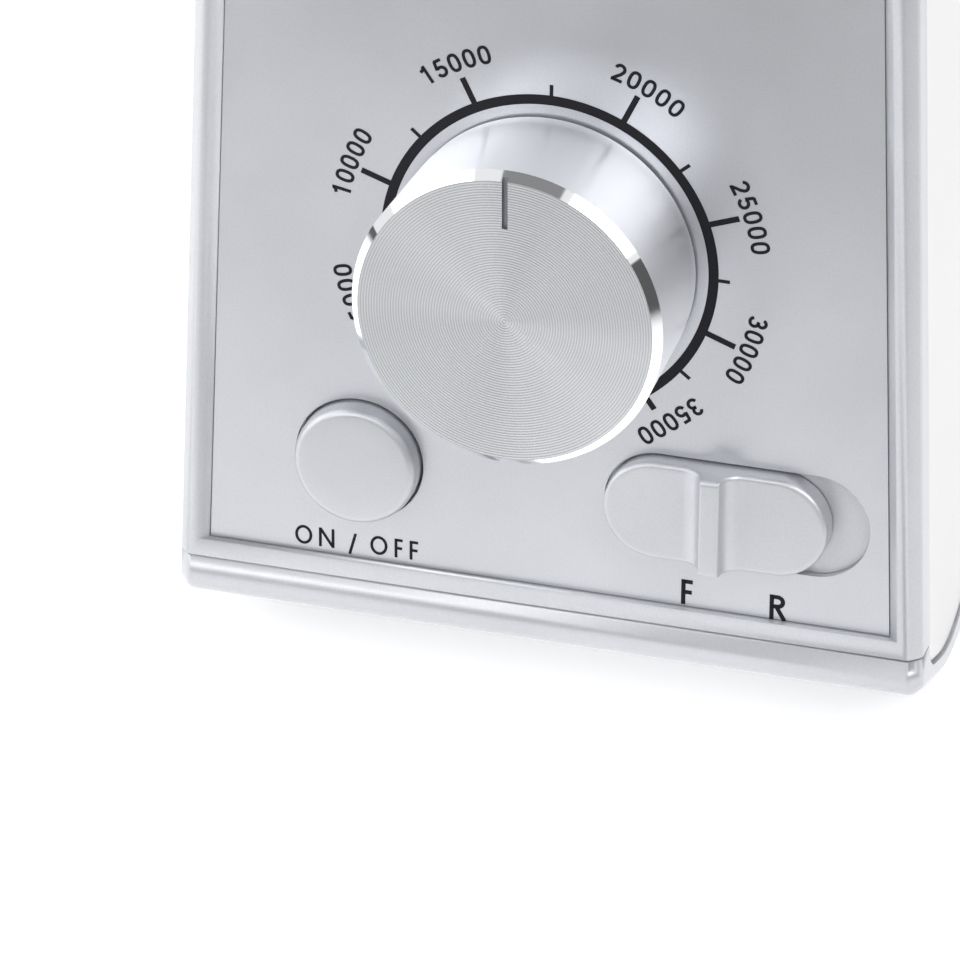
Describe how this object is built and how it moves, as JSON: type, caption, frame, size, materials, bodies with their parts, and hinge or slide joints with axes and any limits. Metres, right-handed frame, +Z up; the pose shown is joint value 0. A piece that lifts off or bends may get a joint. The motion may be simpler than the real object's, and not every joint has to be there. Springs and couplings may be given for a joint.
{
  "type": "electric nail drill control unit",
  "caption": "Desk control unit of a nail drill: leaning silver front panel with a large speed knob, push button and direction slider on a wedge-shaped housing with white sides.",
  "frame": {"origin": "on the table under the middle of the unit's box, at the feet's undersides", "axes": "+Z up, -Y towards the user in front of the panel, +X to the user's right"},
  "size_m": [0.1228, 0.0996, 0.1575],
  "materials": {
    "silver_paint": "satin silver paint on moulded plastic",
    "silver_grain": "fine-grained silver with black print",
    "white_plastic": "smooth white",
    "spun_aluminium": "turned face with a bright chamfer",
    "plain_aluminium": "extruded, plain",
    "black_plastic": "moulded, slightly rough",
    "black_rubber": "matt",
    "plated_steel": "zinc or nickel plated",
    "brass": "turned",
    "circuit_board": "green solder resist",
    "copper_wire": "enamelled copper wire under tape",
    "laminated_steel": "stacked steel sheets",
    "capacitor_sleeve": "aluminium can in a dark blue sleeve",
    "grey_cable": "flat ribbon"
  },
  "bodies": {
    "housing": {"front_shell": "silver_paint", "lower_shell": "silver_paint", "faceplate": "silver_grain", "rear_cover": "white_plastic", "side_panel_left": "white_plastic", "side_panel_right": "white_plastic", "heat_sink": "plain_aluminium", "power_switch_body": "black_plastic", "drive_transistor": "black_plastic", "mains_inlet": "black_plastic", "fuse_holder": "black_plastic", "handpiece_jack": "black_plastic", "pedal_jack": "black_plastic", "mode_switch_housing": "black_plastic", "foot_front_left": "black_rubber", "foot_front_right": "black_rubber", "foot_rear_left": "black_rubber", "foot_rear_right": "black_rubber", "rear_screw_1": "plated_steel", "rear_screw_2": "plated_steel", "rear_screw_3": "plated_steel", "rear_screw_4": "plated_steel", "potentiometer_body": "plated_steel", "potentiometer_washer": "plated_steel", "potentiometer_nut": "plated_steel", "direction_switch_body": "plated_steel", "control_board_screw_1": "plated_steel", "control_board_screw_2": "plated_steel", "control_board_screw_3": "plated_steel", "control_board_screw_4": "plated_steel", "main_board_screw_1": "plated_steel", "main_board_screw_2": "plated_steel", "main_board_screw_3": "plated_steel", "main_board_screw_4": "plated_steel", "transformer_bracket": "plated_steel", "bracket_screw_left": "plated_steel", "bracket_screw_right": "plated_steel", "fuse_holder_nut": "plated_steel", "handpiece_jack_nut": "plated_steel", "pedal_jack_nut": "plated_steel", "potentiometer_bush": "brass", "inlet_pin_left": "brass", "inlet_pin_right": "brass", "control_board": "circuit_board", "main_board": "circuit_board", "transformer_winding": "copper_wire", "transformer_core": "laminated_steel", "main_capacitor": "capacitor_sleeve", "signal_cable": "grey_cable"},
    "speed_knob_body": {"speed_knob": "spun_aluminium", "knob_core": "black_plastic", "potentiometer_shaft": "plated_steel"},
    "power_button_body": {"power_button": "silver_paint", "power_switch_plunger": "white_plastic"},
    "direction_slider_body": {"direction_slider": "silver_paint", "direction_switch_lever": "black_plastic"},
    "mode_rocker_body": {"mode_rocker": "black_plastic"},
    "fuse_cap_body": {"fuse_cap": "black_plastic"}
  },
  "joints": [
    {"name": "speed_knob_turn", "type": "hinge", "parent": "housing", "child": "speed_knob_body", "pos_m": [0, -0.02003, 0.078], "axis": [0, -0.9511, 0.309], "range_deg": [-144, 144]},
    {"name": "power_button_press", "type": "slide", "parent": "housing", "child": "power_button_body", "axis": [0, 0.9511, -0.309], "range_m": [0, 0.0015], "stiffness_N_per_m": 400, "springref_m": -0.003},
    {"name": "direction_slide", "type": "slide", "parent": "housing", "child": "direction_slider_body", "axis": [1, 0, 0], "range_m": [0, 0.0058]},
    {"name": "mode_rocker_tilt", "type": "hinge", "parent": "housing", "child": "mode_rocker_body", "pos_m": [0.013, 0.04195, 0.08105], "axis": [1, 0, 0], "range_deg": [0, 16]},
    {"name": "fuse_cap_turn", "type": "hinge", "parent": "housing", "child": "fuse_cap_body", "pos_m": [-0.007, 0.04206, 0.058], "axis": [0, 0.9976, 0.0698], "range_deg": [0, 90]}
  ]
}
